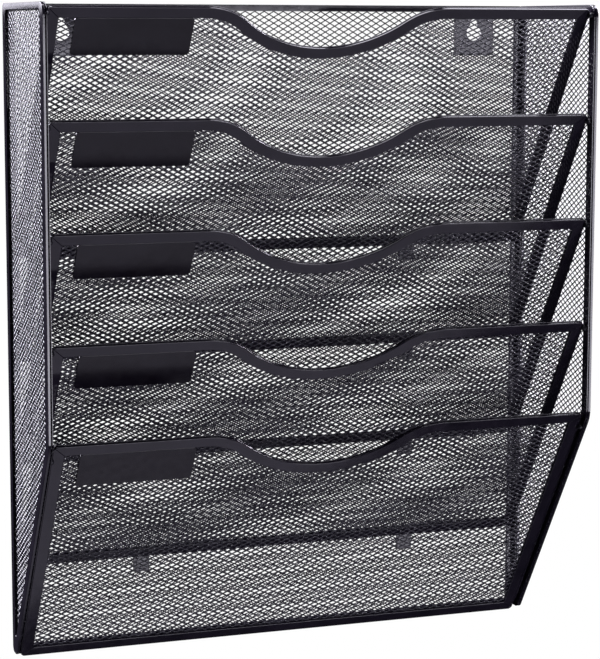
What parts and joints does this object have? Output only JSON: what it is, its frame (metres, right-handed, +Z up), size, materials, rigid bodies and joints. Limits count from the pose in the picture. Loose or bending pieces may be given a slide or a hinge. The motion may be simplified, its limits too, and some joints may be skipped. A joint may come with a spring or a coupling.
{
  "type": "wall file organizer",
  "caption": "Wall-hung file organizer in black steel mesh: a strip-framed shell with slanted, scooped pockets one above another and keyhole plates at the back.",
  "frame": {"origin": "midway between the centres of the two keyholes, on the wall plane at the back of the shell", "axes": "+X to the right seen from the front, +Y into the wall, +Z up; the shell lies at negative Y"},
  "size_m": [0.33, 0.1015, 0.3859],
  "materials": {
    "strip": "satin black powder coat",
    "mesh": "satin black powder coat",
    "hanger_plate": "satin black powder coat",
    "label_plate": "smooth black powder coat",
    "weld": "powder coat over weld"
  },
  "bodies": {
    "root": {"back_top_rail": "strip", "back_bottom_rail": "strip", "back_side_rails": "strip", "back_mesh": "mesh", "left_side_frame": "strip", "left_side_mesh": "mesh", "hanger_plate_left": "hanger_plate", "left_seam_tacks": "weld", "right_side_frame": "strip", "right_side_mesh": "mesh", "hanger_plate_right": "hanger_plate", "right_seam_tacks": "weld", "pocket_1_top_rail": "strip", "pocket_1_side_rails": "strip", "pocket_1_bottom_rail": "strip", "pocket_1_mesh": "mesh", "pocket_1_label_plate": "label_plate", "pocket_1_corner_tabs": "weld", "pocket_1_back_tabs": "weld", "pocket_2_top_rail": "strip", "pocket_2_side_rails": "strip", "pocket_2_bottom_rail": "strip", "pocket_2_mesh": "mesh", "pocket_2_label_plate": "label_plate", "pocket_2_corner_tabs": "weld", "pocket_2_back_tabs": "weld", "pocket_3_top_rail": "strip", "pocket_3_side_rails": "strip", "pocket_3_bottom_rail": "strip", "pocket_3_mesh": "mesh", "pocket_3_label_plate": "label_plate", "pocket_3_corner_tabs": "weld", "pocket_3_back_tabs": "weld", "pocket_4_top_rail": "strip", "pocket_4_side_rails": "strip", "pocket_4_bottom_rail": "strip", "pocket_4_mesh": "mesh", "pocket_4_label_plate": "label_plate", "pocket_4_corner_tabs": "weld", "pocket_4_back_tabs": "weld", "pocket_5_top_rail": "strip", "pocket_5_side_rails": "strip", "pocket_5_bottom_rail": "strip", "pocket_5_mesh": "mesh", "pocket_5_label_plate": "label_plate", "pocket_5_corner_tabs": "weld", "pocket_5_bottom_tacks": "weld"}
  },
  "joints": []
}
